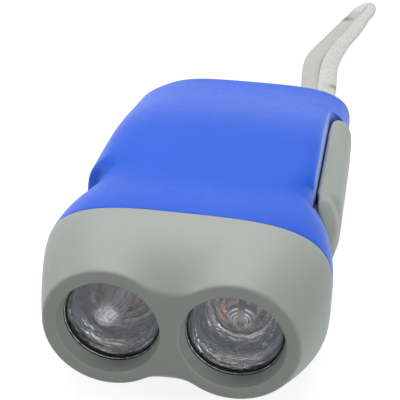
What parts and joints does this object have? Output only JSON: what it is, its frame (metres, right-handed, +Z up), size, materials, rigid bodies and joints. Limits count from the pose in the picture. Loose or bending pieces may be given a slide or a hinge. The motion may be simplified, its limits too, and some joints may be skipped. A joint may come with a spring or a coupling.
{
  "type": "squeeze lever dynamo flashlight",
  "caption": "Hand-powered dynamo flashlight with a twin-lobed lamp head, a waisted casing, a hinged squeeze lever on its flank and a braided wrist strap",
  "frame": {"origin": "centre of the torch's own bounding box without its wrist strap, on the surface it lies on", "axes": "+X towards the squeeze lever, +Y from the lamps to the rear end, +Z up"},
  "size_m": [0.0563, 0.2478, 0.0324],
  "materials": {
    "blue_plastic": "injection moulded, satin gloss",
    "grey_plastic": "injection moulded, fine satin",
    "clear_lens": "polished clear acrylic",
    "bright_reflector": "vacuum metallised plastic",
    "green_board": "solder mask",
    "steel": "plain steel",
    "nylon": "natural nylon",
    "copper_wire": "enamelled copper wire",
    "magnet_ferrite": "sintered ferrite",
    "black_plastic": "moulded black plastic",
    "red_insulation": "wire insulation",
    "strap_braid": "flat braided nylon"
  },
  "bodies": {
    "casing": {"top_shell": "blue_plastic", "bottom_shell": "blue_plastic", "head_bezel": "grey_plastic", "lens_left": "clear_lens", "lens_right": "clear_lens", "reflector_left": "bright_reflector", "reflector_right": "bright_reflector", "led_left": "clear_lens", "led_right": "clear_lens", "lamp_board": "green_board", "lever_pivot_pin": "steel", "first_axle": "steel", "second_axle": "steel", "gear_bridge": "steel", "stator_core": "steel", "coil_bobbin": "nylon", "coil_winding": "copper_wire", "cell_tray": "black_plastic", "coin_cell_lower": "steel", "coin_cell_upper": "steel", "contact_lower": "steel", "contact_upper": "steel", "driver_board": "green_board", "switch_body": "black_plastic", "wire_red": "red_insulation", "wire_black": "black_plastic", "case_screw_1": "steel", "case_screw_2": "steel", "case_screw_3": "steel", "case_screw_4": "steel", "bridge_screw_1": "steel", "bridge_screw_2": "steel", "bridge_screw_3": "steel", "strap_knot": "strap_braid", "strap_strand_left": "strap_braid", "strap_strand_right": "strap_braid", "strap_fold": "strap_braid"},
    "lever": {"squeeze_lever": "grey_plastic", "lever_catch": "steel", "toothed_sector": "nylon", "lever_spring": "steel"},
    "first_wheel": {"first_gear": "nylon"},
    "second_wheel": {"second_gear": "nylon"},
    "rotor": {"rotor_shaft": "steel", "rotor_pinion": "nylon", "rotor_magnet": "magnet_ferrite", "flywheel": "steel"},
    "switch": {"switch_knob": "black_plastic"},
    "latch": {"lever_latch": "grey_plastic"}
  },
  "joints": [
    {"name": "lever_hinge", "type": "hinge", "parent": "casing", "child": "lever", "pos_m": [0.01551, -0.01, 0.0162], "axis": [0, 0, -1], "range_deg": [0, 25]},
    {"name": "first_gear_spin", "type": "hinge", "parent": "casing", "child": "first_wheel", "pos_m": [-0.00248, 0.00039, 0.0102], "axis": [0, 0, 1], "range_deg": [0, 83.43]},
    {"name": "second_gear_spin", "type": "hinge", "parent": "casing", "child": "second_wheel", "pos_m": [-0.00358, 0.01292, 0.0132], "axis": [0, 0, -1], "range_deg": [0, 208.43]},
    {"name": "rotor_spin", "type": "hinge", "parent": "casing", "child": "rotor", "pos_m": [0.00011, 0.02084, 0.0192], "axis": [0, 0, 1], "range_deg": [0, 520.93]},
    {"name": "switch_slide", "type": "slide", "parent": "casing", "child": "switch", "axis": [0, 1, 0], "range_m": [0, 0.003]},
    {"name": "latch_slide", "type": "slide", "parent": "casing", "child": "latch", "axis": [0, -1, 0], "range_m": [0, 0.003]}
  ],
  "couplings": [
    {"joint": "first_gear_spin", "follows": "lever_hinge", "ratio": 3.3333},
    {"joint": "second_gear_spin", "follows": "lever_hinge", "ratio": 8.3333},
    {"joint": "rotor_spin", "follows": "lever_hinge", "ratio": 20.833}
  ]
}
